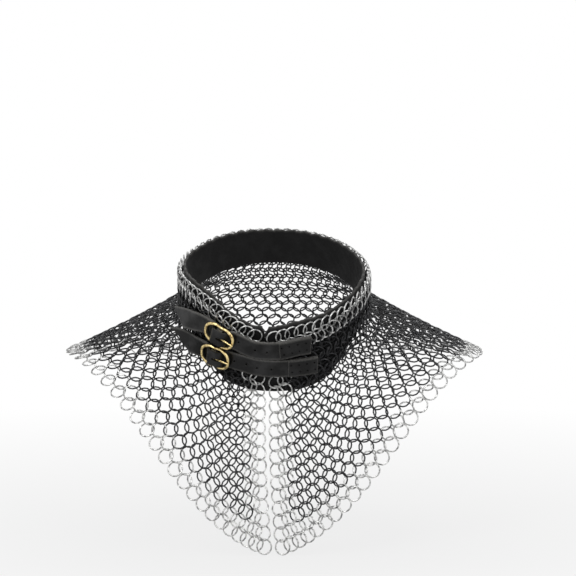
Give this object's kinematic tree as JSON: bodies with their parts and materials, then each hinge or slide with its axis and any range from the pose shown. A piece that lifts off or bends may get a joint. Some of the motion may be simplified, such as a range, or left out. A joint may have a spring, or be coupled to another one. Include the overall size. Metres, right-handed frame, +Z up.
{
  "type": "mail collar",
  "caption": "Ring mail neck collar with a short mantle, a leather neck liner, a front slit and two buckled straps.",
  "frame": {"origin": "middle of the neck opening at the level of the front crease between the neck band and the mantle, at mount neck_seat", "axes": "+Z up, front of the neck faces -Y, +X to the right seen from the front"},
  "size_m": [0.3398, 0.2275, 0.2486],
  "materials": {
    "black_rings": "blackened steel wire, satin",
    "bright_rings": "zinc-bright steel wire",
    "liner_leather": "matt black leather",
    "strap_leather": "smooth black leather",
    "brass": "polished wire"
  },
  "bodies": {
    "collar": {"neck_mail_right_front": "black_rings", "mantle_mail_right_front": "black_rings", "neck_mail_right_breast": "black_rings", "mantle_mail_right_breast": "black_rings", "neck_mail_right_shoulder": "black_rings", "mantle_mail_right_shoulder": "black_rings", "neck_mail_right_blade": "black_rings", "mantle_mail_right_blade": "black_rings", "neck_mail_right_back": "black_rings", "mantle_mail_right_back": "black_rings", "slit_rings_right": "bright_rings", "neck_mail_left_front": "black_rings", "mantle_mail_left_front": "black_rings", "neck_mail_left_breast": "black_rings", "mantle_mail_left_breast": "black_rings", "neck_mail_left_shoulder": "black_rings", "mantle_mail_left_shoulder": "black_rings", "neck_mail_left_blade": "black_rings", "mantle_mail_left_blade": "black_rings", "neck_mail_left_back": "black_rings", "mantle_mail_left_back": "black_rings", "slit_rings_left": "bright_rings", "top_edge_rings": "bright_rings", "hem_rings": "bright_rings", "neck_liner": "liner_leather", "upper_strap": "strap_leather", "upper_chape": "strap_leather", "lower_strap": "strap_leather", "lower_chape": "strap_leather"},
    "upper_frame": {"upper_buckle_frame": "brass"},
    "upper_tongue": {"upper_buckle_tongue": "brass"},
    "lower_frame": {"lower_buckle_frame": "brass"},
    "lower_tongue": {"lower_buckle_tongue": "brass"}
  },
  "joints": [
    {"name": "upper_frame_rock", "type": "hinge", "parent": "collar", "child": "upper_frame", "pos_m": [-0.04346, -0.08816, 0.01351], "axis": [0.2385, -0.5532, 0.7982], "range_deg": [-2, 2]},
    {"name": "upper_tongue_lift", "type": "hinge", "parent": "upper_frame", "child": "upper_tongue", "pos_m": [-0.04346, -0.08816, 0.01351], "axis": [-0.2385, 0.5532, -0.7982], "range_deg": [0, 20]},
    {"name": "lower_frame_rock", "type": "hinge", "parent": "collar", "child": "lower_frame", "pos_m": [-0.04708, -0.07622, -0.00557], "axis": [0.0253, -0.4539, 0.8907], "range_deg": [-2, 2]},
    {"name": "lower_tongue_lift", "type": "hinge", "parent": "lower_frame", "child": "lower_tongue", "pos_m": [-0.04708, -0.07622, -0.00557], "axis": [-0.0253, 0.4539, -0.8907], "range_deg": [0, 20]}
  ]
}
